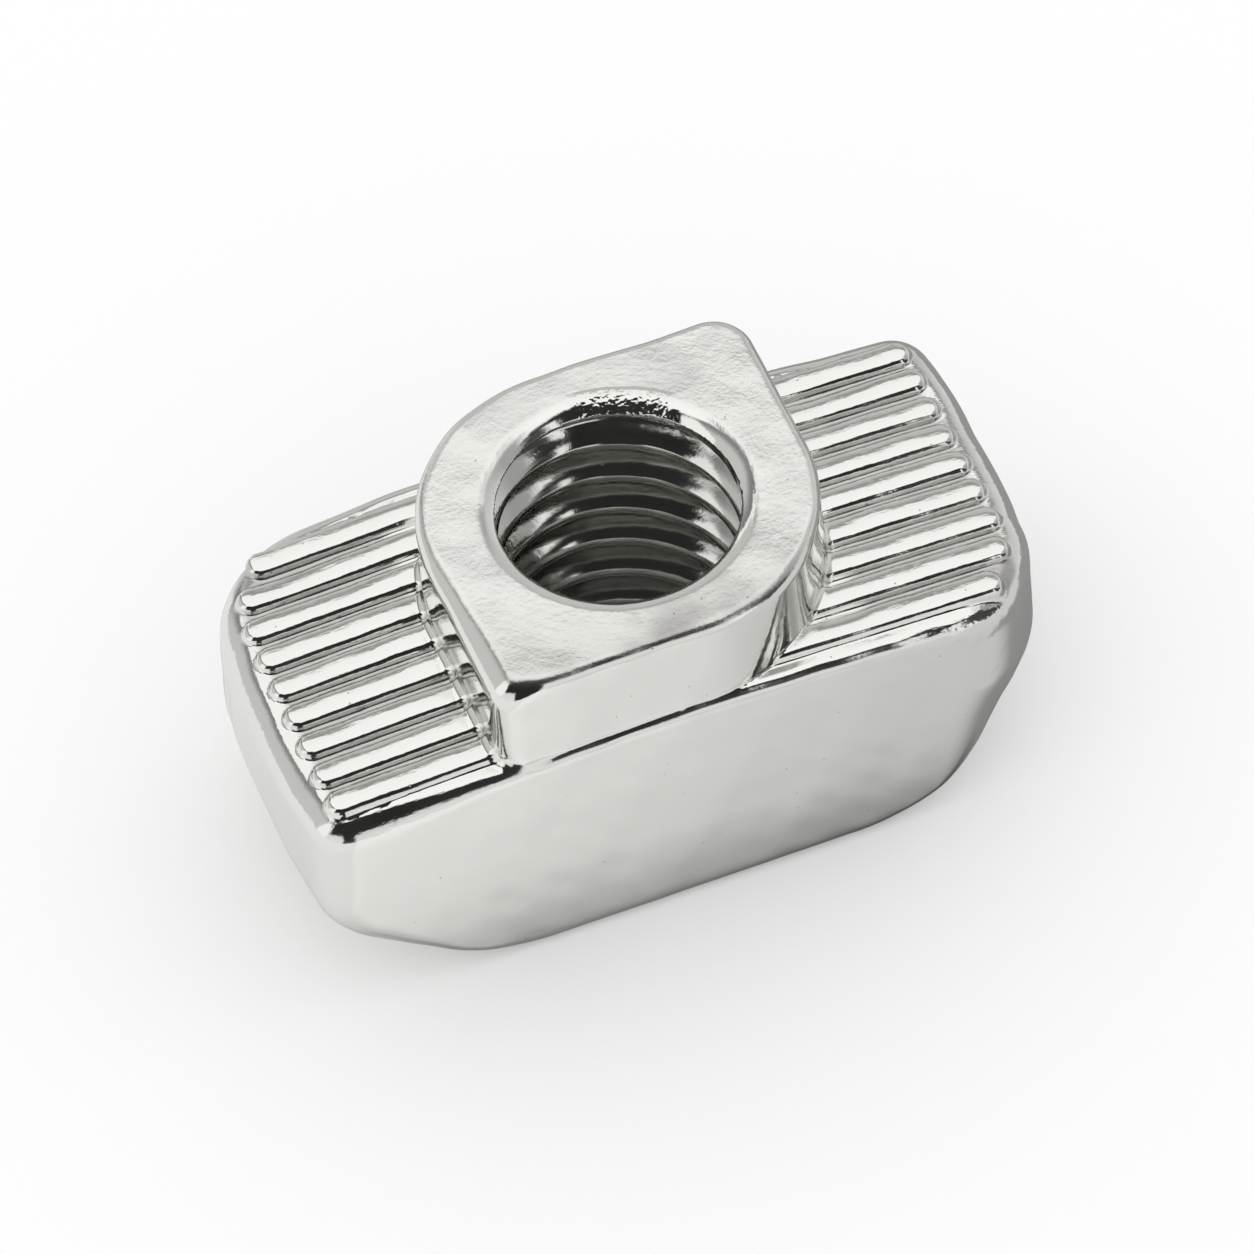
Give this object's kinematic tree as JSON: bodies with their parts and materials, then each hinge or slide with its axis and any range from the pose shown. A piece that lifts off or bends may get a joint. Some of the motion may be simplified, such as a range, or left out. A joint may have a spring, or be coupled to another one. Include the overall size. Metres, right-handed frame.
{
  "type": "T-slot nut",
  "caption": "Drop-in hammer-head nut for an 8 mm T-slot: ridged wings, a boss with two round corners and an M6 through thread.",
  "frame": {"origin": "on the thread's axis at the flat back of the head, which the nut rests on", "axes": "+Z along the thread and out of the boss; +X along the head's length, across the slot when locked; +Y along the slot"},
  "size_m": [0.016, 0.0078, 0.0079],
  "materials": {
    "nickel": "bright nickel plating over fine crinkle and tumbling marks, mirror-like on the boss's sides and edges"
  },
  "bodies": {
    "root": {"nut": "nickel"}
  },
  "joints": []
}
